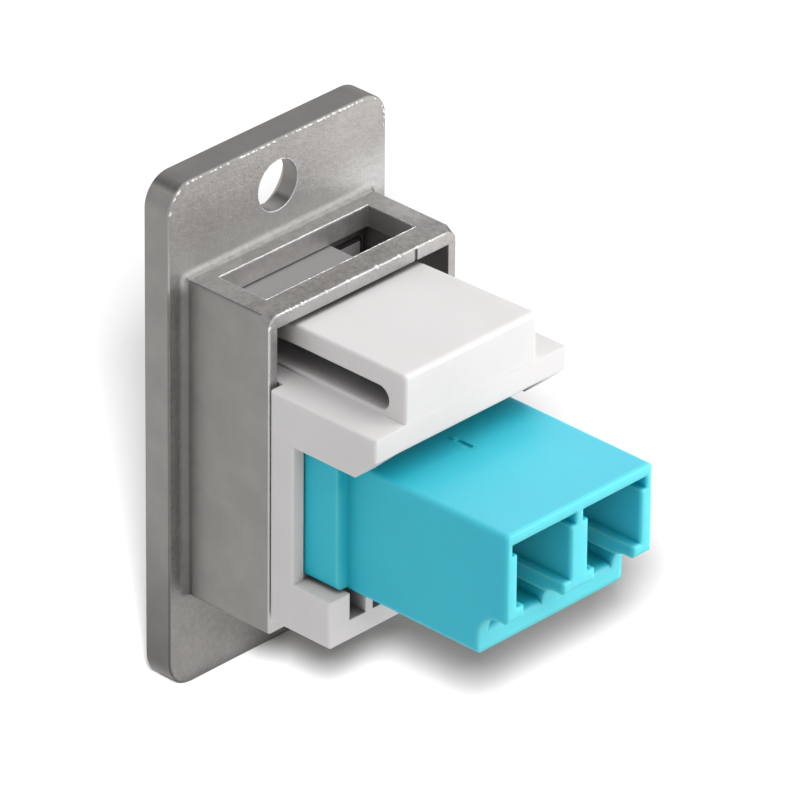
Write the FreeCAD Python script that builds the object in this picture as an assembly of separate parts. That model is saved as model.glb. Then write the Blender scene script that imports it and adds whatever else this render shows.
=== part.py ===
import FreeCAD, Part
import math
import os

# Duplex fibre coupler for a panel: a cast metal frame, a white snap-in holder with a hairpin
# latch, and a one-piece adapter with a ceramic sleeve in each of its two channels.
# Millimetres. +Z is up, +Y points out of the panel's front and -Y to the cable side behind it.
# The origin is midway between the two screw holes, on the rear face of the plate.
# Heights are measured up from the origin, and a reach is a distance behind the plate's rear face.

# Cast frame: plate
plate_width = 19.1
plate_thickness = 2.12
plate_corner_radius = 2.0
plate_edge_radius = 0.13
screw_spacing = 29.0
screw_margin = 3.3
screw_hole_diameter = 3.5
countersink_depth = 0.86

# Cast frame: box behind the plate
box_width = 16.47
box_height = 22.3
box_depth = 7.36
box_side_wall = 0.69
box_top_wall = 0.91
box_edge_radius = 0.2
box_corner_radius = 0.95
box_corner_run = 1.0
box_root_radius = 0.5
box_rim_radius = 0.14
window_width = 13.1
window_length = 4.0
window_setback = 1.4
ledge_drop = 0.6
nick_place = 4.65
nick_width = 0.24
nick_depth = 0.12

# Cast frame: opening in the plate
opening_width = 14.9
opening_height = 16.4
opening_corner_radius = 0.4

# Adapter body
adapter_height = 9.2
adapter_length = 29.66
adapter_edge_radius = 0.3
end_rim_radius = 0.15
adapter_middle_reach = 10.93
adapter_middle_height = -1.985
collar_step = 0.975
collar_length = 2.96
collar_rise = 0.33
collar_lift = 0.28
collar_edge_radius = 0.4
port_pitch = 6.25
port_width = 4.77
port_top_wall = 0.84
port_side_wall = 0.495
plug_zone_height = 4.55
relief_depth = 0.42
relief_height = 0.78
relief_length = 8.0
rail_width = 0.64
rail_height = 1.1
rail_length = 5.0
catch_pocket_length = 2.4
latch_channel_height = 1.2
channel_lip_radius = 0.5
end_notch_depth = 2.4
end_notch_height = 3.0
end_notch_radius = 1.8
bulkhead_thickness = 1.6
gate_groove_length = 1.3
gate_groove_width = 0.38
gate_groove_depth = 0.14
gate_reach = 16.05
gate_pip_diameter = 0.34
gate_pip_height = 0.08
gate_pip_reach = 15.1

# Ceramic sleeves and what holds them
sleeve_bore_diameter = 1.25
sleeve_wall = 0.185
sleeve_length = 6.8
sleeve_slit_width = 0.25
sleeve_float = 0.065
tube_wall = 0.48
lip_length = 0.5
lip_step = 0.125
lead_in_diameter = 2.1
retainer_flange_thickness = 1.0
retainer_gap = 0.05

# Snap-in holder
slide_gap = 0.2
shoulder_gap = 0.3
opening_gap = 0.12
tunnel_gap = 0.08
holder_wall = 0.94
holder_side_wall = 0.99
holder_edge_radius = 0.2
shelf_reach = 16.6
shelf_thickness = 1.63
gusset_drop = 1.66
gusset_run = 1.8
shelf_clearance = 0.5
web_reach = 9.6
collar_seat_reach = 9.45
foot_reach = 12.75
foot_gap = 0.39
foot_floor_thickness = 1.35
foot_post_width = 1.83
rib_thickness = 0.62
rib_pitch = 3.27
rib_count = 4

# Hairpin latch of the holder
latch_width = 11.58
latch_thickness = 1.5
latch_gap = 0.45
latch_inset = 0.05
latch_pad_height = 0.27
latch_pad_reach = 2.0
latch_taper = 0.39
latch_tip_gap = 0.15
latch_tip_reach = 0.12
latch_bend_radius = 0.35
tongue_cut_width = 2.5
tongue_cut_length = 5.0
hook_width = 6.0
hook_height = 1.25
hook_length = 1.6
hook_gap = 0.15

# How near two values are taken as the same
level_match = 1e-4

# Levels and planes that several pieces share
plate_height = screw_spacing + 2 * screw_margin
box_ceiling = box_height / 2 - box_top_wall
box_inner_width = box_width - 2 * box_side_wall
ledge_height = box_ceiling - ledge_drop
window_rear_reach = window_setback + window_length
adapter_width = port_pitch + port_width + 2 * (relief_depth + port_side_wall)
adapter_top = adapter_middle_height + adapter_height / 2
adapter_bottom = adapter_middle_height - adapter_height / 2
adapter_rear_reach = adapter_middle_reach + adapter_length / 2
collar_width = adapter_width + 2 * collar_step
port_top = adapter_top - port_top_wall
rail_top = port_top - plug_zone_height
rail_bottom = rail_top - rail_height
channel_floor = rail_bottom - latch_channel_height
port_axis_height = (port_top + rail_top) / 2
sleeve_outer_diameter = sleeve_bore_diameter + 2 * sleeve_wall
tube_bore_diameter = sleeve_outer_diameter + 2 * sleeve_float
tube_diameter = tube_bore_diameter + 2 * tube_wall
lip_bore_diameter = tube_bore_diameter - 2 * lip_step
tube_half_length = sleeve_length / 2 + sleeve_float + lip_length
holder_inner_width = box_inner_width - 2 * slide_gap
holder_width = collar_width + 2 * (tunnel_gap + holder_side_wall)
holder_bottom = -box_ceiling + foot_gap
shoulder_reach = box_depth + shoulder_gap
shelf_underside = adapter_top + shelf_clearance
lip_bottom = shelf_underside + gusset_drop
shelf_top = lip_bottom + shelf_thickness
latch_top = box_ceiling - latch_gap
overcut = 1.0

X_AXIS = FreeCAD.Vector(1, 0, 0)
Y_AXIS = FreeCAD.Vector(0, 1, 0)
Z_AXIS = FreeCAD.Vector(0, 0, 1)


def block(x, y, z):
    """A box between a low and a high limit along each axis."""
    corner = FreeCAD.Vector(x[0], y[0], z[0])
    return Part.makeBox(x[1] - x[0], y[1] - y[0], z[1] - z[0], corner)


def about(middle, width):
    """The low and high limit of a width centred on a middle."""
    return (middle - width / 2, middle + width / 2)


def along(shape, axis):
    """The straight edges of a shape that run along an axis."""
    edges = []
    for edge in shape.Edges:
        if isinstance(edge.Curve, Part.Line) and abs(abs(edge.Curve.Direction.dot(axis)) - 1) < level_match:
            edges.append(edge)
    return edges


def on_plane(shape, axis_name, value):
    """The edges of a shape that lie in the plane where a coordinate has a value."""
    edges = []
    for edge in shape.Edges:
        limits = edge.BoundBox
        low = getattr(limits, axis_name + "Min")
        high = getattr(limits, axis_name + "Max")
        if abs(low - value) < level_match and abs(high - value) < level_match:
            edges.append(edge)
    return edges


def bar(x, y, z, radius):
    """A bar along Y with its four long edges rounded."""
    solid = block(x, y, z)
    return solid.makeFillet(radius, along(solid, Y_AXIS))


def rod(x, y, z, diameter):
    """A round rod along Y, between two limits, about the axis at x and z."""
    start = FreeCAD.Vector(x, y[0], z)
    return Part.makeCylinder(diameter / 2, y[1] - y[0], start, Y_AXIS)


def side_plate(outline, x):
    """A flat piece with an outline in Y and Z, between two limits along X."""
    corners = [FreeCAD.Vector(x[0], y, z) for y, z in outline]
    wire = Part.makePolygon(corners + corners[:1])
    return Part.Face(wire).extrude(X_AXIS * (x[1] - x[0]))


def port_centres():
    """The X of the left and the right channel."""
    return {"left": -port_pitch / 2, "right": port_pitch / 2}


def plate():
    """The flange that is screwed to the panel, all its edges eased."""
    slab = bar(about(0, plate_width), (0, plate_thickness), about(0, plate_height), plate_corner_radius)
    rims = on_plane(slab, "Y", 0) + on_plane(slab, "Y", plate_thickness)
    return slab.makeFillet(plate_edge_radius, rims)


def plate_with_box():
    """The plate and the outside of the box cast on its rear face, with a round root between them."""
    box_y = (-box_depth, plate_thickness / 2)
    box = bar(about(0, box_width), box_y, about(0, box_height), box_edge_radius)
    casting = plate().fuse(box).removeSplitter()
    root = []
    for edge in on_plane(casting, "Y", 0):
        limits = edge.BoundBox
        inside_x = max(abs(limits.XMin), abs(limits.XMax)) < box_width / 2 + level_match
        inside_z = max(abs(limits.ZMin), abs(limits.ZMax)) < box_height / 2 + level_match
        if inside_x and inside_z:
            root.append(edge)
    return casting.makeFillet(box_root_radius, root)


def box_corner_cut(side):
    """What is taken off the box's upper rear corner on one side: all outside a cone that widens inwards."""
    x = side * (box_width / 2 - box_corner_radius)
    z = box_height / 2 - box_corner_radius
    start = -box_depth - overcut
    length = box_corner_run + overcut
    widest = box_corner_radius * math.sqrt(2)
    narrowest = widest - (widest - box_corner_radius) * length / box_corner_run
    cone = Part.makeCone(narrowest, widest, length, FreeCAD.Vector(x, start, z), Y_AXIS)
    outer_x = sorted((x, side * (box_width / 2 + overcut)))
    return block(outer_x, (start, start + length), (z, box_height / 2 + overcut)).cut(cone)


def box_hollow():
    """The space inside the box, left lower in front of the latch window and at both its sides."""
    hollow = block(about(0, box_inner_width), (-box_depth - overcut, 0), about(0, 2 * box_ceiling))
    ledge_height_span = (ledge_height, box_ceiling + overcut)
    front_ledge = block(about(0, box_inner_width), (-window_setback, 0), ledge_height_span)
    hollow = hollow.cut(front_ledge)
    for side in (-1, 1):
        rail_x = sorted((side * window_width / 2, side * box_inner_width / 2))
        hollow = hollow.cut(block(rail_x, (-window_rear_reach, 0), ledge_height_span))
    return hollow


def screw_hole(height):
    """The space of a screw in the plate, with a square countersink at the front."""
    straight = rod(0, (-overcut, plate_thickness), height, screw_hole_diameter)
    start = FreeCAD.Vector(0, plate_thickness - countersink_depth, height)
    inner = screw_hole_diameter / 2
    depth = countersink_depth + overcut
    return straight.fuse(Part.makeCone(inner, inner + depth, depth, start, Y_AXIS))


def rim_nick():
    """The small nick across the top of the box's rear rim."""
    nick_y = (-box_depth - overcut, -box_depth + nick_depth)
    return block(about(nick_place, nick_width), nick_y, (box_ceiling - overcut, box_height))


def panel_frame():
    """The cast frame: plate, box, latch window, holder opening and two screw holes."""
    casting = plate_with_box()
    casting = casting.cut(box_hollow())
    window_y = (-window_rear_reach, -window_setback)
    casting = casting.cut(block(about(0, window_width), window_y, (ledge_height, box_height)))
    opening_y = (-overcut, plate_thickness + overcut)
    opening = bar(about(0, opening_width), opening_y, about(0, opening_height), opening_corner_radius)
    casting = casting.cut(opening)
    for side in (-1, 1):
        casting = casting.cut(screw_hole(side * screw_spacing / 2))
    casting = casting.removeSplitter()
    outer_rim = [edge for edge in on_plane(casting, "Y", -box_depth) if edge_is_outer(edge)]
    window_rim = [edge for edge in on_plane(casting, "Z", box_height / 2) if edge_is_window(edge)]
    casting = casting.makeFillet(box_rim_radius, outer_rim + window_rim)
    for side in (-1, 1):
        casting = casting.cut(box_corner_cut(side))
    return casting.cut(rim_nick())


def edge_is_outer(edge):
    """True for an edge of the box's outside, not of its hollow."""
    limits = edge.BoundBox
    reach_x = max(abs(limits.XMin), abs(limits.XMax))
    reach_z = max(abs(limits.ZMin), abs(limits.ZMax))
    beside_hollow = reach_x > box_inner_width / 2 + box_side_wall / 4
    return beside_hollow or reach_z > box_ceiling + box_top_wall / 4


def edge_is_window(edge):
    """True for an edge of the latch window's mouth in the top of the box."""
    limits = edge.BoundBox
    inside_x = max(abs(limits.XMin), abs(limits.XMax)) < window_width / 2 + level_match
    inside_y = limits.YMin > -window_rear_reach - level_match and limits.YMax < -window_setback + level_match
    return inside_x and inside_y


def port_hollow(middle):
    """The space of one channel behind the bulkhead: plug zone, latch rails, catch and latch channel."""
    mouth = -adapter_rear_reach - overcut
    end = -adapter_middle_reach - bulkhead_thickness / 2
    hollow = block(about(middle, port_width), (mouth, end), (channel_floor, port_top))
    relief_z = (port_top - relief_height, port_top)
    relief_y = (mouth, -adapter_rear_reach + relief_length)
    hollow = hollow.fuse(block(about(middle, port_width + 2 * relief_depth), relief_y, relief_z))
    for side in (-1, 1):
        wall = middle + side * port_width / 2
        rail_x = sorted((wall, wall - side * rail_width))
        rail = block(rail_x, (mouth, end), (rail_bottom, rail_top))
        catch_start = -adapter_rear_reach + rail_length
        catch = block(rail_x, (catch_start, catch_start + catch_pocket_length), (rail_bottom, rail_top))
        hollow = hollow.cut(rail.cut(catch))
    return hollow


def end_notch():
    """The cut along the lower edge of the adapter's rear end, with a round inner corner."""
    inner = -adapter_rear_reach + end_notch_depth
    top = adapter_bottom + end_notch_height
    notch_y = (-adapter_rear_reach - overcut, inner)
    notch = block(about(0, 2 * collar_width), notch_y, (adapter_bottom - overcut, top))
    corner = [edge for edge in on_plane(notch, "Y", inner) if abs(edge.BoundBox.ZMin - top) < level_match]
    return notch.makeFillet(end_notch_radius, corner)


def channel_lip(middle):
    """The space in front of the rounded end of a latch channel's floor."""
    inner = -adapter_rear_reach + end_notch_depth
    lip_y = (inner - overcut, inner + channel_lip_radius)
    lip_z = (channel_floor - channel_lip_radius, channel_floor)
    lip = block(about(middle, port_width), lip_y, lip_z)
    start = FreeCAD.Vector(middle - port_width, lip_y[1], lip_z[0])
    return lip.cut(Part.makeCylinder(channel_lip_radius, 2 * port_width, start, X_AXIS))


def to_front(shape):
    """The mirror image of a shape on the other side of the adapter's middle."""
    return shape.mirror(FreeCAD.Vector(0, -adapter_middle_reach, 0), Y_AXIS)


def gate_groove():
    """The small round-ended groove left by the moulding gate on the adapter's top."""
    half = gate_groove_width / 2
    y = about(-gate_reach, gate_groove_length)
    z = (adapter_top - gate_groove_depth, adapter_top + overcut)
    groove = block((-half, half), (y[0] + half, y[1] - half), z)
    for end in (y[0] + half, y[1] - half):
        pit = Part.makeCylinder(half, z[1] - z[0], FreeCAD.Vector(0, end, z[0]))
        groove = groove.fuse(pit)
    return groove


def gate_pip():
    """The small pip beside the gate groove."""
    foot = FreeCAD.Vector(0, -gate_pip_reach, adapter_top - overcut)
    return Part.makeCylinder(gate_pip_diameter / 2, overcut + gate_pip_height, foot)


def lead_in(middle, end, inwards):
    """The tapered way into a tube from its end, down to the lip that holds the sleeve."""
    start = FreeCAD.Vector(middle, end, port_axis_height)
    return Part.makeCone(lead_in_diameter / 2, lip_bore_diameter / 2, lip_length, start, inwards)


def adapter_body():
    """The one-piece duplex adapter with its collar, four channels and rear sleeve tubes."""
    front = adapter_length - adapter_rear_reach
    body_y = (-adapter_rear_reach, front)
    body_z = (adapter_bottom, adapter_top)
    body = bar(about(0, adapter_width), body_y, body_z, adapter_edge_radius)
    collar_y = about(-adapter_middle_reach, collar_length)
    collar_z = (adapter_bottom + collar_lift, adapter_top + collar_rise)
    body = body.fuse(bar(about(0, collar_width), collar_y, collar_z, collar_edge_radius))
    body = body.fuse(gate_pip()).cut(gate_groove())
    hollows = [end_notch()]
    for middle in port_centres().values():
        hollows.extend([port_hollow(middle), channel_lip(middle)])
    for hollow in hollows:
        body = body.cut(hollow)
        body = body.cut(to_front(hollow))
    bulkhead_rear = -adapter_middle_reach - bulkhead_thickness / 2
    bulkhead_front = -adapter_middle_reach + bulkhead_thickness / 2
    tube_end = -adapter_middle_reach - tube_half_length
    for middle in port_centres().values():
        tube_y = (tube_end, bulkhead_rear + bulkhead_thickness / 4)
        body = body.fuse(rod(middle, tube_y, port_axis_height, tube_diameter))
        bore_y = (tube_end + lip_length, bulkhead_front + overcut)
        body = body.cut(rod(middle, bore_y, port_axis_height, tube_bore_diameter))
        body = body.cut(lead_in(middle, tube_end, Y_AXIS))
    body = body.removeSplitter()
    return body.makeFillet(end_rim_radius, on_plane(body, "Y", -adapter_rear_reach))


def sleeve_retainer(middle):
    """The insert that closes a sleeve's seat from the front: a flange with a lipped tube."""
    seat = -adapter_middle_reach + bulkhead_thickness / 2
    tube_end = -adapter_middle_reach + tube_half_length
    flange_x = about(middle, port_width - 2 * retainer_gap)
    flange_z = (rail_top + retainer_gap, port_top - retainer_gap)
    retainer = block(flange_x, (seat, seat + retainer_flange_thickness), flange_z)
    retainer = retainer.fuse(rod(middle, (seat, tube_end), port_axis_height, tube_diameter))
    bore_y = (seat - overcut, tube_end - lip_length)
    retainer = retainer.cut(rod(middle, bore_y, port_axis_height, tube_bore_diameter))
    return retainer.cut(lead_in(middle, tube_end, -Y_AXIS)).removeSplitter()


def split_sleeve(middle):
    """The slit ceramic tube that grips the two ferrules and holds them in line."""
    sleeve_y = about(-adapter_middle_reach, sleeve_length)
    sleeve = rod(middle, sleeve_y, port_axis_height, sleeve_outer_diameter)
    cut_y = about(-adapter_middle_reach, sleeve_length + 2 * overcut)
    sleeve = sleeve.cut(rod(middle, cut_y, port_axis_height, sleeve_bore_diameter))
    slit_z = (port_axis_height, port_axis_height + sleeve_outer_diameter)
    return sleeve.cut(block(about(middle, sleeve_slit_width), cut_y, slit_z))


def holder_outside():
    """The holder's solid outline: core in the box, nose in the plate, shoulder, shelf and foot."""
    core_z = (holder_bottom, shelf_top)
    core = block(about(0, holder_inner_width), (-web_reach, 0), core_z)
    nose_width = opening_width - 2 * opening_gap
    nose_height = opening_height - 2 * opening_gap
    nose = block(about(0, nose_width), (-holder_wall, plate_thickness), about(0, nose_height))
    nose_back = block(about(0, opening_width), (-2 * holder_wall, 0), (shelf_top, opening_height))
    shoulder = block(about(0, holder_width), (-web_reach, -shoulder_reach), core_z)
    shelf_outline = [
        (-shoulder_reach, shelf_top),
        (-shelf_reach, shelf_top),
        (-shelf_reach, lip_bottom),
        (-shelf_reach + gusset_run, shelf_underside),
        (-shoulder_reach, shelf_underside),
    ]
    shelf = side_plate(shelf_outline, about(0, holder_width))
    foot_z = (holder_bottom, adapter_bottom)
    foot = block(about(0, holder_width), (-foot_reach, -shoulder_reach), foot_z)
    return core.fuse([nose.cut(nose_back), shoulder, shelf, foot])


def holder_tunnel():
    """The passage for the adapter and the wider seat of its collar."""
    tunnel_x = about(0, adapter_width + 2 * tunnel_gap)
    tunnel_y = (-shelf_reach - overcut, plate_thickness + overcut)
    tunnel = block(tunnel_x, tunnel_y, (adapter_bottom, adapter_top + tunnel_gap))
    seat_x = about(0, collar_width + 2 * tunnel_gap)
    seat_y = (-shelf_reach - overcut, -collar_seat_reach)
    seat_z = (adapter_bottom, adapter_top + collar_rise + tunnel_gap)
    return tunnel.fuse(block(seat_x, seat_y, seat_z))


def rib_places():
    """The X of each rib that carries the adapter."""
    first = -(rib_count - 1) / 2
    return [(first + number) * rib_pitch for number in range(rib_count)]


def holder_pockets():
    """The cored spaces above and below the adapter, with the ribs left standing in them."""
    inner_half = holder_width / 2 - foot_post_width
    front = -holder_wall
    below_z = (holder_bottom + foot_floor_thickness, adapter_bottom)
    below = block((-inner_half, inner_half), (-foot_reach - overcut, front), below_z)
    above_z = (adapter_top, lip_bottom)
    above = block((-inner_half, inner_half), (-shelf_reach - overcut, front), above_z)
    pockets = below.fuse(above)
    for place in rib_places():
        rib_x = about(place, rib_thickness)
        pockets = pockets.cut(block(rib_x, (-foot_reach - overcut, front), below_z))
        pockets = pockets.cut(block(rib_x, (-web_reach, front), above_z))
    return pockets


def side_windows():
    """The openings of the C-shaped sides, from the web to the open rear end."""
    height = (adapter_bottom, shelf_underside)
    return block(about(0, 2 * holder_width), (-shelf_reach - overcut, -web_reach), height)


def latch_side_cut(rear, half):
    """The space beside the latch's right side, which runs inwards from the bend to the box."""
    corners = [
        FreeCAD.Vector(half, rear, shelf_top),
        FreeCAD.Vector(half + overcut, rear, shelf_top),
        FreeCAD.Vector(half + overcut, 0, shelf_top),
        FreeCAD.Vector(half - latch_taper, 0, shelf_top),
        FreeCAD.Vector(half - latch_taper, -box_depth, shelf_top),
    ]
    wire = Part.makePolygon(corners + corners[:1])
    return Part.Face(wire).extrude(Z_AXIS * (latch_top + overcut - shelf_top))


def latch():
    """The hairpin latch: a bend at the rear, a springy arm into the box and a hook under the window."""
    rear = -shelf_reach + latch_inset
    tip = -latch_tip_reach
    pad_top = shelf_top + latch_pad_height
    underside = latch_top - latch_thickness
    tip_top = ledge_height - latch_tip_gap
    slot_radius = (underside - pad_top) / 2
    slot_centre = rear + latch_thickness + slot_radius
    outline = [
        (rear, shelf_top),
        (rear, latch_top),
        (-box_depth, latch_top),
        (-window_rear_reach, tip_top),
        (tip, tip_top),
        (tip, tip_top - latch_thickness),
        (-box_depth, underside),
        (slot_centre, underside),
        (slot_centre, pad_top),
        (-latch_pad_reach, pad_top),
        (-latch_pad_reach, shelf_top),
    ]
    half = latch_width / 2
    arm = side_plate(outline, (-half, half))
    bend_start = FreeCAD.Vector(-half, slot_centre, pad_top + slot_radius)
    arm = arm.cut(Part.makeCylinder(slot_radius, latch_width, bend_start, X_AXIS))
    corner = [edge for edge in on_plane(arm, "Y", rear) if abs(edge.BoundBox.ZMin - latch_top) < level_match]
    arm = arm.makeFillet(latch_bend_radius, corner)
    cut_y = (-tongue_cut_length, tip + overcut)
    arm = arm.cut(block((half - tongue_cut_width, half + overcut), cut_y, (pad_top, latch_top + overcut)))
    arm = arm.cut(latch_side_cut(rear, half))
    catch = -window_rear_reach + hook_gap
    hook_outline = [
        (catch, tip_top - latch_thickness / 2),
        (catch, tip_top + hook_height),
        (catch + hook_length, tip_top),
        (catch + hook_length, tip_top - latch_thickness / 2),
    ]
    return arm.fuse(side_plate(hook_outline, about(0, hook_width)))


def edge_is_beside_latch(edge):
    """True for an edge in the outline of the latch's left or right side, above the shelf."""
    limits = edge.BoundBox
    nearest = min(abs(limits.XMin), abs(limits.XMax))
    in_side = latch_width / 2 - latch_taper - level_match < nearest < latch_width / 2 + level_match
    return in_side and limits.XMin * limits.XMax > 0 and limits.ZMin > shelf_top + level_match


def keystone_holder():
    """The white snap-in holder, one moulding with its hairpin latch and softened side outlines."""
    holder = holder_outside()
    holder = holder.cut(holder_tunnel())
    holder = holder.cut(holder_pockets())
    holder = holder.cut(side_windows())
    holder = holder.fuse(latch()).removeSplitter()
    outlines = [edge for edge in holder.Edges if edge_is_beside_latch(edge)]
    for side in (-1, 1):
        outlines.extend(on_plane(holder, "X", side * holder_width / 2))
    return holder.makeFillet(holder_edge_radius, outlines)


def pieces():
    """Each separate piece of the coupler by its name."""
    made = {
        "panel_frame": panel_frame(),
        "keystone_holder": keystone_holder(),
        "adapter_body": adapter_body(),
    }
    for side, middle in port_centres().items():
        made["sleeve_retainer_" + side] = sleeve_retainer(middle)
        made["split_sleeve_" + side] = split_sleeve(middle)
    return made


os.makedirs("parts", exist_ok=True)
for name, shape in pieces().items():
    shape.exportStep("parts/" + name + ".step")
    print(name, len(shape.Solids), "solid", round(shape.Volume, 3), "mm3", shape.isValid())
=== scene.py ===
"""Studio picture of a duplex fibre coupler for a panel.

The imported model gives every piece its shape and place. This script gives the pieces their
finishes, adds the plated seams on the cast frame's edges, and makes the set: floor, lamps and
camera. Lengths are in millimetres and turned to metres by MM, apart from those of the lamps, the
floor and the camera's reach, which are in metres.
"""

from __future__ import annotations

import logging
import math
from dataclasses import dataclass
from enum import Enum
from functools import cached_property, reduce

import bpy
import numpy as np
from mathutils import Matrix, Vector


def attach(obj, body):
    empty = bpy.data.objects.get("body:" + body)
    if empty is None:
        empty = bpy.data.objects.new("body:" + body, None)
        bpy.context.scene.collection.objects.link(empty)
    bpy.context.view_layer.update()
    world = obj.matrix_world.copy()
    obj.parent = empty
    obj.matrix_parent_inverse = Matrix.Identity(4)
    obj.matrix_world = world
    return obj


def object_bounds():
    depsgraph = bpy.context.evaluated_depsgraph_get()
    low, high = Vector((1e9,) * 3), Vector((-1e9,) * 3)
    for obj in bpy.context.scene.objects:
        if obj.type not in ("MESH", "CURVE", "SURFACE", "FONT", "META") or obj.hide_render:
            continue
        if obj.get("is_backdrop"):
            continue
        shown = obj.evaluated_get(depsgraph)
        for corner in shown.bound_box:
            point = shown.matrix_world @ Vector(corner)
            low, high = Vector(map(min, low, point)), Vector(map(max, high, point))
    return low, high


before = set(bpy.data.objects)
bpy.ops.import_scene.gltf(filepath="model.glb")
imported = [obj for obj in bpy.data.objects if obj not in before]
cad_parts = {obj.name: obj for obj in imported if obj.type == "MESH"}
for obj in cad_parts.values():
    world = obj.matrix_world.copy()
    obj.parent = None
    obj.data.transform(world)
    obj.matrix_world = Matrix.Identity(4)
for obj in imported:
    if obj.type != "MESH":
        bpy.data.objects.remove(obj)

MM = 0.001
BODY = "root"

# The middle of a grain's height and of a grey
MIDDLE = 0.5

Socket = bpy.types.NodeSocket
Pair = tuple[float, float]
Triple = tuple[float, float, float]

log = logging.getLogger("coupler")


class Slot(Enum):
    """The record's material slots."""

    NICKEL = "cast_nickel"
    WHITE = "white_plastic"
    AQUA = "aqua_plastic"
    CERAMIC = "zirconia"


class Graph:
    """A node tree that is filled and linked by short calls."""

    def __init__(self, tree: bpy.types.NodeTree) -> None:
        """Keeps the node tree of a material, a world or a group."""
        self.tree = tree

    @staticmethod
    def put(node: bpy.types.Node, **values: object) -> None:
        """Sets a node's properties and its unlinked inputs.

        Args:
            node: The node.
            **values: A property by its name, or an input by its name with _ for each space.
        """
        for name, value in values.items():
            if hasattr(node, name):
                setattr(node, name, value)
            else:
                node.inputs[name.replace("_", " ")].default_value = value

    def add(self, kind: str, **values: object) -> bpy.types.Node:
        """Adds a node.

        Args:
            kind: Blender's name for the kind of node.
            **values: Its properties and unlinked inputs, named as put takes them.

        Returns:
            The new node.
        """
        node = self.tree.nodes.new(kind)
        self.put(node, **values)
        return node

    def link(self, source: Socket, target: Socket) -> None:
        """Links an output to an input."""
        self.tree.links.new(source, target)

    def fill(self, socket: Socket, value: object) -> None:
        """Links a socket to an input, or sets the input to a plain value.

        Args:
            socket: The input.
            value: An output socket or a plain value.
        """
        if isinstance(value, Socket):
            self.link(value, socket)
        else:
            socket.default_value = value

    def sum(self, operation: str, first: object, second: object = 0.0, clamp: bool = False) -> Socket:
        """Works out one sum with a Math node.

        Args:
            operation: The Math node's operation, such as ADD.
            first: A socket or a number.
            second: A socket or a number.
            clamp: True to keep the result between 0 and 1.

        Returns:
            The result's socket.
        """
        node = self.add("ShaderNodeMath", operation=operation, use_clamp=clamp)
        self.fill(node.inputs[0], first)
        self.fill(node.inputs[1], second)
        return node.outputs[0]

    def product(self, *factors: object, clamp: bool = False) -> Socket:
        """Multiplies sockets and numbers.

        Args:
            *factors: Two or more of them.
            clamp: True to keep the result between 0 and 1.

        Returns:
            The result's socket.
        """
        result = factors[0]
        for factor in factors[1:-1]:
            result = self.sum("MULTIPLY", result, factor)
        return self.sum("MULTIPLY", result, factors[-1], clamp)

    def highest(self, *values: object) -> Socket:
        """The highest of two or more sockets and numbers."""
        return reduce(lambda first, second: self.sum("MAXIMUM", first, second), values)

    def past(self, length: Socket, level_mm: float) -> Socket:
        """1 where a length is more than a level, and 0 elsewhere."""
        return self.sum("GREATER_THAN", length, level_mm * MM)

    def short_of(self, length: Socket, level_mm: float) -> Socket:
        """1 where a length is less than a level, and 0 elsewhere."""
        return self.sum("LESS_THAN", length, level_mm * MM)

    def ramp(
        self, value: object, low: object, high: object, ends: Pair = (0.0, 1.0), kind: str = "SMOOTHSTEP"
    ) -> Socket:
        """Adds a step from one number to another, which stays level beyond its ends.

        Args:
            value: The socket that the step reads.
            low: Where the step starts. It may be above the other end.
            high: Where the step ends.
            ends: The step's two numbers.
            kind: The Map Range node's kind of step.

        Returns:
            The step's socket.
        """
        step = self.add("ShaderNodeMapRange", interpolation_type=kind, To_Min=ends[0], To_Max=ends[1])
        for title, number in (("Value", value), ("From Min", low), ("From Max", high)):
            self.fill(step.inputs[title], number)
        return step.outputs[0]

    def over(self, length: Socket, span_mm: Pair, ends: Pair = (0.0, 1.0), kind: str = "SMOOTHSTEP") -> Socket:
        """A step over a span of a length in millimetres, with ends and a kind as ramp takes them."""
        return self.ramp(length, span_mm[0] * MM, span_mm[1] * MM, ends, kind)

    def blend(self, factor: object, first: object, second: object, kind: str = "MIX") -> Socket:
        """Mixes two colours.

        Args:
            factor: How much of the second colour, as a socket or a number.
            first: A colour or a colour socket.
            second: A colour or a colour socket.
            kind: The way the two are mixed.

        Returns:
            The mixed colour's socket.
        """
        node = self.add("ShaderNodeMix", data_type="RGBA", blend_type=kind)
        for number, value in ((0, factor), (6, first), (7, second)):
            self.fill(node.inputs[number], value)
        return node.outputs[2]

    def split(self, vector: Socket) -> dict[str, Socket]:
        """The X, Y and Z of a vector, by name."""
        node = self.add("ShaderNodeSeparateXYZ")
        self.link(vector, node.inputs[0])
        return {axis: node.outputs[axis] for axis in "XYZ"}


class Spot:
    """A point of a surface: where it is on the coupler, and which way it faces.

    Each value is a socket, and its nodes are added when it is first asked for.
    """

    def __init__(self, graph: Graph) -> None:
        """Adds the material's Texture Coordinate node to its graph."""
        self.graph = graph
        outputs = graph.add("ShaderNodeTexCoord").outputs
        self.point = outputs["Object"]
        self.normal = outputs["Normal"]

    @cached_property
    def where(self) -> dict[str, Socket]:
        """The point's place along X, Y and Z."""
        return self.graph.split(self.point)

    @cached_property
    def facing(self) -> dict[str, Socket]:
        """The normal along X, Y and Z."""
        return self.graph.split(self.normal)

    @cached_property
    def aside(self) -> Socket:
        """How far the point is from the coupler's middle plane."""
        return self.graph.sum("ABSOLUTE", self.where["X"])

    @cached_property
    def sideways(self) -> Socket:
        """1 on a face that looks left or right, falling to 0 as it turns away."""
        return self.graph.sum("ABSOLUTE", self.facing["X"])

    @cached_property
    def upward(self) -> Socket:
        """1 on a face that looks up, falling to 0 as it turns away."""
        return self.graph.sum("MAXIMUM", self.facing["Z"], 0.0)

    @cached_property
    def rearward(self) -> Socket:
        """1 on a face that looks away from the panel, falling to 0 as it turns away."""
        return self.graph.sum("MAXIMUM", self.graph.product(self.facing["Y"], -1.0), 0.0)


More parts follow.
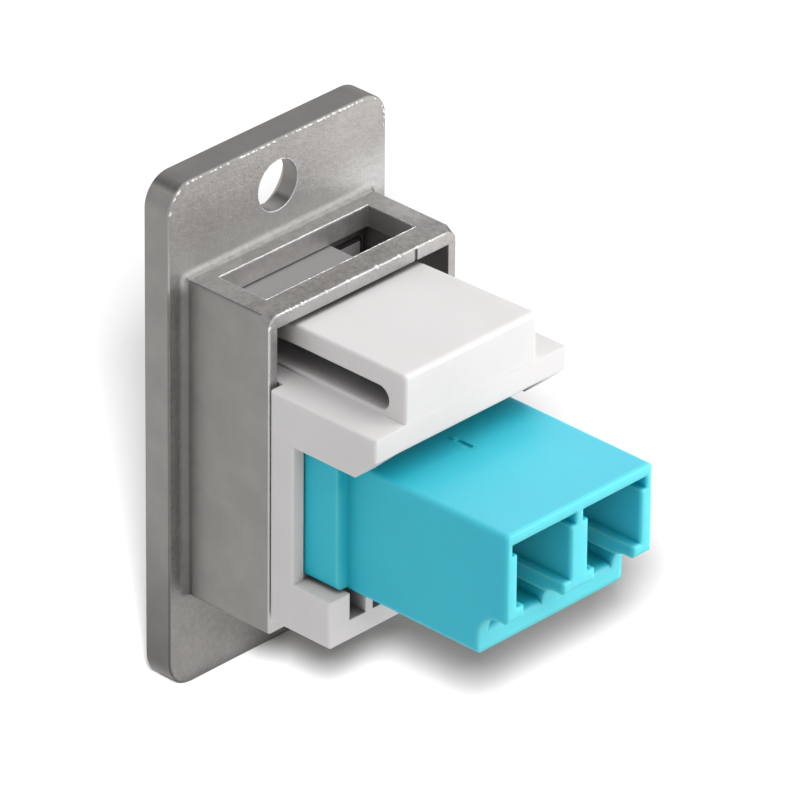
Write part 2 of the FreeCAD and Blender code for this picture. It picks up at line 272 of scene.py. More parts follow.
def rgba(colour: Triple) -> tuple[float, float, float, float]:
    """A colour with full alpha."""
    return (*colour, 1.0)


BLACK = rgba((0.0, 0.0, 0.0))
WHITE = rgba((1.0, 1.0, 1.0))


def place_group(graph: Graph, tree: bpy.types.NodeTree, **values: object) -> dict[str, Socket]:
    """Adds a shared group to a material.

    Args:
        graph: The material's graph.
        tree: The group.
        **values: Each input by its name, as a socket or a plain value.

    Returns:
        The group's outputs by name.
    """
    node = graph.add("ShaderNodeGroup", node_tree=tree)
    for name, value in values.items():
        graph.fill(node.inputs[name], value)
    return {output.name: output for output in node.outputs}


class Effects:
    """The node groups that several finishes share, each built once."""

    COARSE_SCALE = 0.37
    COARSE_SHARE = 0.8
    HEIGHT_SHARE = 0.55
    SPECK_FROM = 0.6
    SPECK_GAIN = 9.0
    DRIFT_SPAN = (0.32, 0.68)

    def __init__(self) -> None:
        """Builds the four groups."""
        self.grain = self.build_grain()
        self.edges = self.build_edges()
        self.mottle = self.build_mottle()
        self.depth = self.build_depth()

    @staticmethod
    def new_group(name: str, inputs: dict[str, str], outputs: dict[str, str]) -> tuple[Graph, dict, dict]:
        """Makes an empty group with its sockets.

        Args:
            name: The group's name.
            inputs: Each input's name and kind: Float, Color or Vector.
            outputs: Each output's name and kind.

        Returns:
            The group's graph, and its inner sockets by name on the way in and on the way out.
        """
        tree = bpy.data.node_groups.new(name, "ShaderNodeTree")
        for way, sockets in (("INPUT", inputs), ("OUTPUT", outputs)):
            for title, kind in sockets.items():
                tree.interface.new_socket(name=title, in_out=way, socket_type="NodeSocket" + kind)
        graph = Graph(tree)
        into = graph.add("NodeGroupInput").outputs
        out = graph.add("NodeGroupOutput").inputs
        return graph, {title: into[title] for title in inputs}, {title: out[title] for title in outputs}

    def build_grain(self) -> bpy.types.NodeTree:
        """A fine grain: a height, and a mask of its few brightest specks."""
        graph, into, out = self.new_group(
            "fine grain", {"Place": "Vector", "Scale": "Float"}, {"Height": "Float", "Specks": "Float"}
        )
        fine = graph.add("ShaderNodeTexNoise", Detail=4.0, Roughness=0.65)
        coarse = graph.add("ShaderNodeTexNoise", Detail=2.0, Roughness=0.5)
        for noise in (fine, coarse):
            graph.link(into["Place"], noise.inputs["Vector"])
        graph.link(into["Scale"], fine.inputs["Scale"])
        graph.link(graph.product(into["Scale"], self.COARSE_SCALE), coarse.inputs["Scale"])
        height = graph.sum("ADD", fine.outputs["Fac"], graph.product(coarse.outputs["Fac"], self.COARSE_SHARE))
        graph.link(graph.product(height, self.HEIGHT_SHARE), out["Height"])
        above = graph.sum("SUBTRACT", fine.outputs["Fac"], self.SPECK_FROM)
        graph.link(graph.product(above, self.SPECK_GAIN, clamp=True), out["Specks"])
        return graph.tree

    def build_edges(self) -> bpy.types.NodeTree:
        """Rounded edges: a normal that turns over them, and a mask that is 1 on them, which places painted
        highlights and glints.
        """
        graph, into, out = self.new_group(
            "worn edges", {"Radius": "Float", "Gain": "Float"}, {"Normal": "Vector", "Mask": "Float"}
        )
        bevel = graph.add("ShaderNodeBevel", samples=6)
        graph.link(into["Radius"], bevel.inputs["Radius"])
        flat = graph.add("ShaderNodeNewGeometry").outputs["Normal"]
        turn = graph.add("ShaderNodeVectorMath", operation="DOT_PRODUCT")
        graph.link(bevel.outputs["Normal"], turn.inputs[0])
        graph.link(flat, turn.inputs[1])
        away = graph.sum("SUBTRACT", 1.0, turn.outputs["Value"])
        graph.link(graph.product(away, into["Gain"], clamp=True), out["Mask"])
        graph.link(bevel.outputs["Normal"], out["Normal"])
        return graph.tree

    def build_mottle(self) -> bpy.types.NodeTree:
        """A slow drift of a colour between a darker and a lighter shade of it."""
        graph, into, out = self.new_group(
            "slow mottle",
            {"Place": "Vector", "Scale": "Float", "Darker": "Color", "Lighter": "Color"},
            {"Colour": "Color"},
        )
        noise = graph.add("ShaderNodeTexNoise", Detail=3.0, Roughness=0.55)
        graph.link(into["Place"], noise.inputs["Vector"])
        graph.link(into["Scale"], noise.inputs["Scale"])
        drift = graph.ramp(noise.outputs["Fac"], *self.DRIFT_SPAN, kind="LINEAR")
        graph.link(graph.blend(drift, into["Darker"], into["Lighter"]), out["Colour"])
        return graph.tree

    def build_depth(self) -> bpy.types.NodeTree:
        """A mask that rises from 0 in the open to 1 deep in a hollow, and the openness that it comes from."""
        graph, into, out = self.new_group(
            "depth in hollows",
            {"Reach": "Float", "Open": "Float", "Shut": "Float"},
            {"Mask": "Float", "Openness": "Float"},
        )
        shade = graph.add("ShaderNodeAmbientOcclusion", samples=8)
        graph.link(into["Reach"], shade.inputs["Distance"])
        graph.link(graph.ramp(shade.outputs["AO"], into["Open"], into["Shut"]), out["Mask"])
        graph.link(shade.outputs["AO"], out["Openness"])
        return graph.tree

    def grained(self, spot: Spot, grain_mm: float, point: Socket | None = None) -> dict[str, Socket]:
        """Places the fine grain in a material.

        Args:
            spot: The material's point of the surface.
            grain_mm: The size of a grain.
            point: Where the grain is read, if not at the point itself.

        Returns:
            The group's outputs by name.
        """
        place = spot.point if point is None else point
        return place_group(spot.graph, self.grain, Place=place, Scale=1 / (grain_mm * MM))

    def mottled(self, spot: Spot, colour: Triple, shades: Pair, scale: float) -> Socket:
        """Places the slow mottle in a material.

        Args:
            spot: The material's point of the surface.
            colour: The finish's colour.
            shades: The darker and the lighter shade, as shares of the colour.
            scale: The drift's scale.

        Returns:
            The colour's socket.
        """
        darker, lighter = (rgba(tuple(min(1.0, part * shade) for part in colour)) for shade in shades)
        placed = place_group(
            spot.graph, self.mottle, Place=spot.point, Scale=scale, Darker=darker, Lighter=lighter
        )
        return placed["Colour"]


def cleared(owner: bpy.types.Material | bpy.types.World) -> Graph:
    """Turns on the nodes of a material or the world, clears them and returns their graph."""
    owner.use_nodes = True
    owner.node_tree.nodes.clear()
    return Graph(owner.node_tree)


def new_material(name: str) -> tuple[bpy.types.Material, Spot, bpy.types.Node]:
    """Makes a material with an empty Principled shader.

    Args:
        name: The material's name.

    Returns:
        The material, its point of the surface and its Principled node.
    """
    material = bpy.data.materials.new(name)
    graph = cleared(material)
    shader = graph.add("ShaderNodeBsdfPrincipled")
    graph.link(shader.outputs["BSDF"], graph.add("ShaderNodeOutputMaterial").inputs["Surface"])
    return material, Spot(graph), shader


def add_relief(
    graph: Graph, shader: bpy.types.Node, height: Socket, depth_mm: float,
    strength: float = 1.0, normal: Socket | None = None,
) -> None:
    """Gives a material its bump.

    Args:
        graph: The material's graph.
        shader: Its Principled node.
        height: The relief's height.
        depth_mm: How deep the relief is.
        strength: How strongly it shows.
        normal: The normal under the relief, if not the surface's own.
    """
    bump = graph.add("ShaderNodeBump", Strength=strength, Distance=depth_mm * MM)
    graph.link(height, bump.inputs["Height"])
    if normal is not None:
        graph.link(normal, bump.inputs["Normal"])
    graph.link(bump.outputs["Normal"], shader.inputs["Normal"])


@dataclass(frozen=True)
class CastNickel:
    """Satin nickel over a zinc casting, sandy where the mould was, finer on its outer sides.

    The painted shading darkens a place, and a painted highlight or painted light pales it; the edges
    also get painted glints. A pair in millimetres holds two places along an axis of the coupler, and slopes
    hold two values of a face's normal: a smooth step goes from 0 at the first to 1 at the second. The wall's
    depth alone is a plain range.
    """

    name: str
    colour: Triple = (0.297, 0.285, 0.274)
    shades: Pair = (0.94, 1.06)
    drift_scale: float = 420.0
    sandy_roughness: float = 0.5
    smooth_roughness: float = 0.4
    drawn_smoothness: float = 0.85
    grain_mm: float = 0.15
    grain_depth_mm: float = 0.05
    grain_roughening: float = 0.25
    least_relief: float = 0.1
    speckle: float = 0.96
    speckle_share: float = 0.5
    top_coarsening: float = 0.7
    edge_mm: float = 0.09
    edge_gain: float = 5.0
    # Painted glints on the edges.
    glint: float = 0.9
    glint_colour: Triple = (0.95, 0.94, 0.92)
    plate_level_mm: float = -0.7
    top_level_mm: float = 17.55
    # Painted shade on the sides, the top band, the corners, the fillet and low down.
    side_painted_shade: float = 0.26
    top_painted_shade: float = 0.36
    corner_painted_shade: float = 0.66
    corner_gain: float = 2.0
    corner_slopes: Pair = (-0.15, 0.3)
    root_painted_shade: float = 0.02
    root_roughening: float = 0.13
    low_painted_shade: float = 0.16
    low_span_mm: Pair = (-4.0, -17.0)
    # Painted highlight on the box's rear rim.
    rim_highlight: float = 0.22
    rim_level_mm: float = -7.25
    rim_span_mm: Pair = (8.0, -1.0)
    rim_ends: Pair = (0.1, 1.0)
    # Painted light on the plate above the box's root.
    painted_glow: float = 0.15
    glow_upper_mm: Pair = (15.0, 11.6)
    glow_lower_mm: Pair = (10.3, 11.2)
    glow_rear_mm: Pair = (-6.6, -3.0)
    plate_slopes: Pair = (-0.5, -0.95)
    ledge_slopes: Pair = (0.8, 1.0)
    # Painted light on the latch window's walls.
    wall_light_share: float = 0.35
    wall_aside_mm: Pair = (6.7, 6.5)
    wall_above_mm: float = 8.9
    wall_depth_mm: Pair = (-5.6, -1.2)
    wall_shares: Pair = (0.7, 0.3)
    # Painted shade deep in the corners.
    crevice_mm: float = 1.3
    crevice_openness: Pair = (0.95, 0.4)
    crevice_shade: float = 0.45
    crevice_below_mm: float = 9.6
    crevice_aside_mm: Pair = (8.0, 8.3)
    crevice_low_mm: Pair = (11.0, 9.9)
    crevice_gain: float = 2.2

    def sandy_mask(self, spot: Spot) -> Socket:
        """1 on the faces that the sandy mould gave their grain, near 0 on the drawn outer sides.

        Args:
            spot: The point of the surface.

        Returns:
            The mask's socket.
        """
        graph = spot.graph
        outside = graph.past(graph.sum("ABSOLUTE", spot.where["Z"]), self.top_level_mm)
        upright = graph.product(outside, graph.sum("ABSOLUTE", spot.facing["Z"]))
        smooth = graph.product(graph.highest(spot.sideways, upright), self.drawn_smoothness)
        return graph.sum("SUBTRACT", 1.0, smooth, clamp=True)

    def rounded_root(self, spot: Spot) -> Socket:
        """1 half way round the fillet between the plate and the box's top, and 0 at both its ends.

        Args:
            spot: The point of the surface.

        Returns:
            The mask's socket.
        """
        graph = spot.graph
        turned = graph.highest(graph.product(spot.facing["Z"], spot.facing["Y"], -2.0), 0.0)
        return graph.product(turned, graph.past(spot.where["Y"], self.plate_level_mm), clamp=True)

    def painted_shading(self, spot: Spot, rounded: Socket) -> Socket:
        """Painted shade: how much darker the colour is made on the sides, the plate's top band and corners,
        the fillet and low down on the plate.

        Args:
            spot: The point of the surface.
            rounded: The mask of the fillet.

        Returns:
            The share of black.
        """
        graph = spot.graph
        on_plate = graph.past(spot.where["Y"], self.plate_level_mm)
        band = graph.product(graph.past(spot.where["Z"], self.top_level_mm), spot.upward, self.top_painted_shade)
        sides = graph.product(spot.sideways, self.side_painted_shade)
        low = graph.product(graph.over(spot.where["Z"], self.low_span_mm), self.low_painted_shade)
        lower = graph.product(low, graph.sum("ADD", spot.sideways, 1.0), on_plate)
        darkening = graph.sum("ADD", graph.highest(sides, band, graph.product(rounded, self.root_painted_shade)), lower)
        turned = graph.product(spot.sideways, spot.upward, self.corner_gain, clamp=True)
        steep = graph.ramp(graph.sum("SUBTRACT", spot.upward, spot.sideways), *self.corner_slopes)
        return graph.highest(darkening, graph.product(turned, steep, self.corner_painted_shade))

    def painted_rim_highlight(self, spot: Spot) -> Socket:
        """Painted highlight: how much paler the box's rear rim is made, the more so towards lower X.

        Args:
            spot: The point of the surface.

        Returns:
            The share of white.
        """
        graph = spot.graph
        along = graph.over(spot.where["X"], self.rim_span_mm, self.rim_ends)
        return graph.product(graph.short_of(spot.where["Y"], self.rim_level_mm), along, self.rim_highlight)

    def painted_root_glow(self, spot: Spot) -> Socket:
        """Painted light: how much paler the plate is made just above the box, and the box's top close to the
        plate.

        Args:
            spot: The point of the surface.

        Returns:
            The share of white.
        """
        graph = spot.graph
        on_plate = graph.past(spot.where["Y"], self.plate_level_mm)
        flat = graph.product(graph.ramp(spot.facing["Y"], *self.plate_slopes), on_plate)
        near = graph.over(spot.where["Y"], self.glow_rear_mm)
        ledge = graph.product(graph.ramp(spot.facing["Z"], *self.ledge_slopes), near)
        upper = graph.over(spot.where["Z"], self.glow_upper_mm)
        lower = graph.over(spot.where["Z"], self.glow_lower_mm)
        return graph.product(upper, lower, graph.highest(flat, ledge), self.painted_glow)

    def painted_wall_light(self, spot: Spot) -> Socket:
        """Painted light: how much paler the latch window's upright walls are made.

        Args:
            spot: The point of the surface.

        Returns:
            The share of white.
        """
        graph = spot.graph
        rear, front = self.wall_depth_mm
        between = graph.product(graph.short_of(spot.where["Y"], front), graph.past(spot.where["Y"], rear))
        within = graph.product(graph.over(spot.aside, self.wall_aside_mm), between)
        sides, back = self.wall_shares
        upright = graph.sum("ADD", graph.product(spot.sideways, sides), graph.product(spot.rearward, back))
        return graph.product(within, graph.past(spot.where["Z"], self.wall_above_mm), upright, self.wall_light_share)

    def crevice_painted_shade(self, spot: Spot, effects: Effects) -> Socket:
        """Painted shade: 1 deep in the corners inside the box below its top, and in the fillets where the
        box's sides meet the plate.

        Args:
            spot: The point of the surface.
            effects: The shared node groups.

        Returns:
            The mask's socket.
        """
        graph = spot.graph
        inside = graph.past(spot.where["Y"], self.rim_level_mm)
        below = graph.product(graph.short_of(spot.where["Z"], self.crevice_below_mm), inside)
        root = graph.past(spot.where["Y"], self.plate_level_mm)
        beside = graph.over(spot.aside, self.crevice_aside_mm)
        at_root = graph.product(root, beside, graph.over(spot.where["Z"], self.crevice_low_mm))
        corner = graph.sum("ABSOLUTE", graph.product(spot.facing["X"], spot.facing["Y"]))
        turned = graph.product(corner, self.crevice_gain, clamp=True)
        opened, shut = self.crevice_openness
        deep = place_group(graph, effects.depth, Reach=self.crevice_mm * MM, Open=opened, Shut=shut)
        deeper = graph.highest(deep["Mask"], graph.product(turned, root))
        return graph.product(deeper, graph.highest(below, at_root), clamp=True)

    def material(self, effects: Effects) -> bpy.types.Material:
        """Builds the metal.

        Args:
            effects: The shared node groups.

        Returns:
            The material.
        """
        material, spot, shader = new_material(self.name)
        graph = spot.graph
        grain = effects.grained(spot, self.grain_mm)
        edges = place_group(graph, effects.edges, Radius=self.edge_mm * MM, Gain=self.edge_gain)
        sandy = self.sandy_mask(spot)
        rounded = self.rounded_root(spot)
        grainy = graph.sum("SUBTRACT", grain["Height"], MIDDLE)
        coarser = graph.sum("ADD", graph.product(spot.upward, self.top_coarsening), 1.0)
        grey = graph.sum("ADD", graph.product(grainy, sandy, coarser, self.speckle), MIDDLE)
        plain = effects.mottled(spot, self.colour, self.shades, self.drift_scale)
        speckled = graph.blend(self.speckle_share, plain, graph.blend(grey, BLACK, WHITE), "OVERLAY")
        # Painted shade darkens the sides, the top band, the corners, the fillet and low down.
        darkened_colour = graph.blend(self.painted_shading(spot, rounded), speckled, BLACK)
        # Painted light pales the rear rim, the window walls and the plate above the box.
        painted_light = graph.highest(self.painted_rim_highlight(spot), self.painted_wall_light(spot), self.painted_root_glow(spot))
        # Painted glints: pale specks on the edges.
        glints = graph.product(edges["Mask"], grain["Specks"], self.glint, clamp=True)
        highlit = graph.blend(glints, graph.blend(painted_light, darkened_colour, WHITE), rgba(self.glint_colour))
        # Painted shade deep in the corners.
        deep = graph.product(self.crevice_painted_shade(spot, effects), self.crevice_shade)
        graph.link(graph.blend(deep, highlit, BLACK), shader.inputs["Base Color"])
        sanded = graph.product(sandy, self.sandy_roughness - self.smooth_roughness)
        rough = graph.sum("ADD", sanded, self.smooth_roughness)
        rough = graph.sum("ADD", rough, graph.product(rounded, self.root_roughening))
        rough = graph.sum("ADD", rough, graph.product(grainy, self.grain_roughening), clamp=True)
        graph.link(rough, shader.inputs["Roughness"])
        relief = graph.sum("ADD", graph.product(sandy, 1 - self.least_relief), self.least_relief)
        height = graph.product(grain["Height"], relief)
        add_relief(graph, shader, height, self.grain_depth_mm, normal=edges["Normal"])
        graph.put(shader, Metallic=1.0)
        return material


@dataclass(frozen=True)
class MouldedPlastic:
    """A satin moulded plastic with a little light scattered under its skin.

    Its edges and its rear end may get a painted highlight, its hollows painted shade, its top faces more
    gloss, and what lies under the latch window a painted shade that only the camera sees. The bounce is the
    colour that its neighbours see in it.
    """

    name: str
    colour: Triple
    scatter_mm: Triple
    shades: Pair = (0.975, 1.025)
    drift_scale: float = 170.0
    scatter: float = 0.3
    roughness: float = 0.5
    roughness_drift: float = 0.12
    gloss_level: float = 0.5
    refraction: float = 1.49
    grain_mm: float = 0.09
    grain_depth_mm: float = 0.0035
    edge_mm: float = 0.12
    edge_gain: float = 3.0
    # Painted highlight on the edges and the rear end.
    edge_highlight: float = 0.12
    edge_highlight_colour: Triple = (1.0, 1.0, 1.0)
    end_highlight: float = 0.0
    end_slopes: Pair = (-0.7, -1.0)
    open_from: float = 0.58
    open_gain: float = 6.0
    # Painted shade in the hollows.
    shade: float = 0.75
    shade_colour: Triple = (0.0, 0.0, 0.0)
    shade_mm: float = 4.0
    shade_openness: Pair = (0.44, 0.1)
    bounce: Triple | None = None
    top_coat: float = 0.0
    coat_roughness: float = 0.35
    # Painted shade under the latch window, seen only by the camera.
    dim_above_mm: float | None = None
    dim_rear_mm: Pair = (-6.0, -3.0)
    dim_height_mm: Pair = (8.4, 9.4)
    dim_ends: Pair = (0.93, 0.58)

    def painted_window_shade(self, spot: Spot) -> Socket:
        """Painted shade: high on what lies under the latch window, the deeper the higher, and 0 towards the
        box's rear rim.

        Args:
            spot: The point of the surface.

        Returns:
            The mask's socket.
        """
        graph = spot.graph
        above = graph.past(spot.where["Z"], self.dim_above_mm)
        inside = graph.over(spot.where["Y"], self.dim_rear_mm)
        deeper = graph.over(spot.where["Z"], self.dim_height_mm, self.dim_ends, kind="LINEAR")
        return graph.product(above, inside, deeper)

    def material(self, effects: Effects) -> bpy.types.Material:
        """Builds the plastic.

        Args:
            effects: The shared node groups.

        Returns:
            The material.
        """
        material, spot, shader = new_material(self.name)
        graph = spot.graph
        grain = effects.grained(spot, self.grain_mm)
        edges = place_group(graph, effects.edges, Radius=self.edge_mm * MM, Gain=self.edge_gain)
        opened, shut = self.shade_openness
        deep = place_group(graph, effects.depth, Reach=self.shade_mm * MM, Open=opened, Shut=shut)
        rays = graph.add("ShaderNodeLightPath").outputs
        # Painted highlight on the open edges and the rear end.
        past_open = graph.sum("SUBTRACT", deep["Openness"], self.open_from)
        outer = graph.product(past_open, self.open_gain, clamp=True)
        on_edge = graph.product(edges["Mask"], self.edge_highlight)
        on_end = graph.product(graph.ramp(spot.facing["Y"], *self.end_slopes), self.end_highlight)
        painted_light = graph.product(graph.highest(on_edge, on_end), outer)
        plain = effects.mottled(spot, self.colour, self.shades, self.drift_scale)
        highlighted = graph.blend(painted_light, plain, rgba(self.edge_highlight_colour))
        # Painted shade in the hollows.
        shade = graph.product(deep["Mask"], self.shade)
        # Painted shade under the latch window, for camera rays only.
        if self.dim_above_mm is not None:
            shade = graph.highest(shade, graph.product(self.painted_window_shade(spot), rays["Is Camera Ray"]))
        colour = graph.blend(shade, highlighted, rgba(self.shade_colour))
        if self.bounce is not None:
            colour = graph.blend(rays["Is Diffuse Ray"], colour, rgba(self.bounce))
        graph.link(colour, shader.inputs["Base Color"])
        if self.top_coat:
            graph.link(graph.product(spot.upward, self.top_coat), shader.inputs["Coat Weight"])
        drift = graph.product(graph.sum("SUBTRACT", grain["Height"], MIDDLE), self.roughness_drift)
        graph.link(graph.sum("ADD", drift, self.roughness, clamp=True), shader.inputs["Roughness"])
        add_relief(graph, shader, grain["Height"], self.grain_depth_mm, normal=edges["Normal"])
        graph.put(
            shader, Subsurface_Weight=self.scatter, Subsurface_Radius=self.scatter_mm, Subsurface_Scale=MM,
            IOR=self.refraction, Specular_IOR_Level=self.gloss_level, Coat_Roughness=self.coat_roughness,
        )
        return material


@dataclass(frozen=True)
class GroundCeramic:
    """Zirconia, ground to a smooth white with a faint turning pattern along it."""

    name: str = "ground zirconia"
    colour: Triple = (0.9, 0.88, 0.84)
    shades: Pair = (0.97, 1.0)
    drift_scale: float = 600.0
    least_roughness: float = 0.17
    roughness_drift: float = 0.1
    refraction: float = 2.1
    turning_mm: float = 0.05
    turning_stretch: Triple = (0.1, 1.0, 0.1)
    turning_depth_mm: float = 0.002
    turning_strength: float = 0.4

    def material(self, effects: Effects) -> bpy.types.Material:
        """Builds the ceramic.

        Args:
            effects: The shared node groups.

        Returns:
            The material.
        """
        material, spot, shader = new_material(self.name)
        graph = spot.graph
        stretch = graph.add("ShaderNodeMapping", Scale=self.turning_stretch)
        graph.link(spot.point, stretch.inputs["Vector"])
        grain = effects.grained(spot, self.turning_mm, stretch.outputs[0])
        plain = effects.mottled(spot, self.colour, self.shades, self.drift_scale)
        graph.link(plain, shader.inputs["Base Color"])
        drift = graph.product(grain["Height"], self.roughness_drift)
        graph.link(graph.sum("ADD", drift, self.least_roughness), shader.inputs["Roughness"])
        add_relief(graph, shader, grain["Height"], self.turning_depth_mm, self.turning_strength)
        graph.put(shader, IOR=self.refraction)
        return material


@dataclass(frozen=True)
class Surface:
    """A grid of points over two parameters, closed on itself along either or both."""

    points: np.ndarray
    closed_rows: bool = False
    closed_columns: bool = False

    def faces(self) -> np.ndarray:
        """Four corners for each cell: a point, its neighbours along each parameter and the one across."""
        rows, columns = self.points.shape[:2]
        row = np.arange(rows if self.closed_rows else rows - 1)[:, None]
        column = np.arange(columns if self.closed_columns else columns - 1)[None, :]
        next_row = (row + 1) % rows
        next_column = (column + 1) % columns
        corners = (
            row * columns + column,
            next_row * columns + column,
            next_row * columns + next_column,
            row * columns + next_column,
        )
        return np.stack(np.broadcast_arrays(*corners), axis=-1).reshape(-1, 4)

    def to_object(self, name: str) -> bpy.types.Object:
        """Puts the surface into a smooth mesh object at the origin.

        Args:
            name: The object's name.

        Returns:
            The new object, linked to the scene.
        """
        mesh = bpy.data.meshes.new(name)
        mesh.from_pydata(self.points.reshape(-1, 3).tolist(), [], self.faces().tolist())
        mesh.polygons.foreach_set("use_smooth", np.ones(len(mesh.polygons), dtype=bool))
        mesh.update()
        made = bpy.data.objects.new(name, mesh)
        bpy.context.scene.collection.objects.link(made)
        return made


@dataclass(frozen=True)
class PlatedSeam:
    """The uneven line of thicker plating that runs round an edge of the casting.

    The two plane axes are indices of X, Y and Z. The line is a rounded outline in their plane, and
    the seam is a small round profile carried along it. The profile's radius is half the thickness
    times one plus the ripple, plus the height of the beads. Beads stand only on the line's upper
    part, and only short of the beads' end along the first axis. Where a fade is given, the radius
    falls to nothing over that height towards the lowest part. The longest and the shortest wave
    of the ripple are counted in points of the line.
    """

    name: str
    plane: tuple[int, int]
    centre_mm: Pair
    level_mm: float
    size_mm: Pair
    corners_mm: Pair
    thickness_mm: float
    seed: int
    unevenness: float = 0.3
    fade_mm: float = 0.0
    bead_mm: float = 0.0
    bead_spacing_mm: float = 0.45
    bead_share: float = 0.75
    bead_end_mm: float = 30.0
    bead_wander: float = 0.35
    bead_heights: Pair = (0.35, 1.0)
    bead_halves: Pair = (0.25, 0.5)
    corner_reach: float = 1.5
    waves: int = 60
    rolls: int = 3
    longest_wave: int = 60
    shortest_wave: int = 5
    arc_points: int = 24
    step_mm: float = 0.04
    around: int = 8

    def outline(self, count: int) -> np.ndarray:
        """Points at even distances round a rectangle with round corners.

        Each corner's arc is its centre plus its radius times (cos, sin) of a quarter turn. The
        four arcs are joined, and the joined line is read again at even steps of its length.

        Args:
            count: How many points.

        Returns:
            The points, as count rows of two.
        """
        width, height = self.size_mm
        start = np.arange(4) * np.pi / 2
        quarter = start[:, None] + np.linspace(0, np.pi / 2, self.arc_points)[None, :]
        middle = start + np.pi / 4
        radius = np.where(np.sin(middle) > 0, *self.corners_mm)
        centres = np.stack(
            (np.sign(np.cos(middle)) * (width / 2 - radius), np.sign(np.sin(middle)) * (height / 2 - radius)),
            axis=-1,
        )
        turns = np.stack((np.cos(quarter), np.sin(quarter)), axis=-1)
        line = (centres[:, None, :] + radius[:, None, None] * turns).reshape(-1, 2)
        line = np.vstack((line, line[:1]))
        length = np.concatenate(([0.0], np.cumsum(np.linalg.norm(np.diff(line, axis=0), axis=1))))
        even = np.linspace(0, length[-1], count, endpoint=False)
        return np.stack((np.interp(even, length, line[:, 0]), np.interp(even, length, line[:, 1])), axis=-1)

    def beads(self, rows: int, length: float) -> np.ndarray:
        """How far each point along the line is up a bead of plating.

        Each bead is a bell curve, e to the power of minus the square of the distance along the
        line over the bead's half length. Only a share of the places has a bead, and the beads
        differ in height and length. The value at a point is that of its highest bead.

        Args:
            rows: Points along the line.
            length: The line's length.

        Returns:
            A value between 0 and 1 for each point.
        """
        draw = np.random.default_rng(self.seed)
        count = int(length / self.bead_spacing_mm)
        wander = draw.uniform(-self.bead_wander, self.bead_wander, count)
        centre = (np.arange(count) + wander) * length / count
        height = draw.uniform(*self.bead_heights, count) * (draw.uniform(0, 1, count) < self.bead_share)
        half = draw.uniform(*self.bead_halves, count) * self.bead_spacing_mm
        place = np.arange(rows)[:, None] * length / rows
        apart = (place - centre[None, :] + length / 2) % length - length / 2
        return (height * np.exp(-((apart / half) ** 2))).max(axis=1)

    def ripple(self, rows: int) -> np.ndarray:
        """A rough pattern that closes on itself along the line and round the profile.

        It is a sum of cosines of a whole number of turns along the line and round the profile,
        each with its own phase, and a height that falls with the square root of the turns.

        Args:
            rows: Points along the line.

        Returns:
            The pattern, about -1 to 1.
        """
        draw = np.random.default_rng(self.seed)
        along = np.arange(rows)[:, None, None] * 2 * np.pi / rows
        across = np.arange(self.around)[None, :, None] * 2 * np.pi / self.around
        turns = draw.integers(rows // self.longest_wave, rows // self.shortest_wave, self.waves)
        rolls = draw.integers(0, self.rolls, self.waves)
        phase = draw.uniform(0, 2 * np.pi, self.waves)
        height = 1 / np.sqrt(turns)
        total = (height * np.cos(along * turns + across * rolls + phase)).sum(axis=-1)
        return total / np.abs(total).max()

    def build(self) -> bpy.types.Object:
        """Works out the seam's surface.

        Returns:
            The seam's object.
        """
        length = 2 * sum(self.size_mm)
        count = int(length / self.step_mm)
        half_height = self.size_mm[1] / 2
        line = self.outline(count)
        run = np.roll(line, -1, axis=0) - np.roll(line, 1, axis=0)
        run /= np.linalg.norm(run, axis=1, keepdims=True)
        outward = np.stack((run[:, 1], -run[:, 0]), axis=-1)
        angle = np.arange(self.around) * 2 * np.pi / self.around
        radius = self.thickness_mm / 2 * (1 + self.unevenness * self.ripple(count))
        upper = np.clip(line[:, 1] - (half_height - self.corner_reach * max(self.corners_mm)), 0, 1)
        upper *= np.clip(self.bead_end_mm - line[:, 0], 0, 1)
        swell = self.beads(count, length)
        lower = np.clip((line[:, 1] + half_height) / self.fade_mm, 0, 1) if self.fade_mm else 1.0
        radius = radius * np.reshape(lower, (-1, 1)) + (self.bead_mm * upper * swell)[:, None]
        points = np.zeros((count, self.around, 3))
        for number, axis in enumerate(self.plane):
            aside = radius * np.cos(angle) * outward[:, number, None]
            points[:, :, axis] = line[:, number, None] + self.centre_mm[number] + aside
        points[:, :, 3 - sum(self.plane)] = self.level_mm + radius * np.sin(angle)
        return Surface(points * MM, closed_rows=True, closed_columns=True).to_object(self.name)


class Dresser:
    """Gives nodes and new pieces their finishes and says so in the log."""

    def __init__(self, nodes: dict[str, bpy.types.Object]) -> None:
        """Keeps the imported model's nodes by name."""
        self.nodes = nodes

    def node(self, name: str, material: bpy.types.Material, slot: Slot) -> None:
        """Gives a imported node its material.

        Args:
            name: The node's name.
            material: Its finish.
            slot: The record's slot that the finish belongs to.
        """
        for holder in self.nodes[name].material_slots:
            holder.material = material
        log.info("node %s has %s for %s", name, material.name, slot.value)

    def piece(self, made: bpy.types.Object, material: bpy.types.Material) -> None:
        """Gives a new piece its material and its body.

        Args:
            made: The piece.
            material: Its finish.
        """
        made.data.materials.append(material)
        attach(made, BODY)
        log.info("piece %s has %d faces and %s", made.name, len(made.data.polygons), material.name)


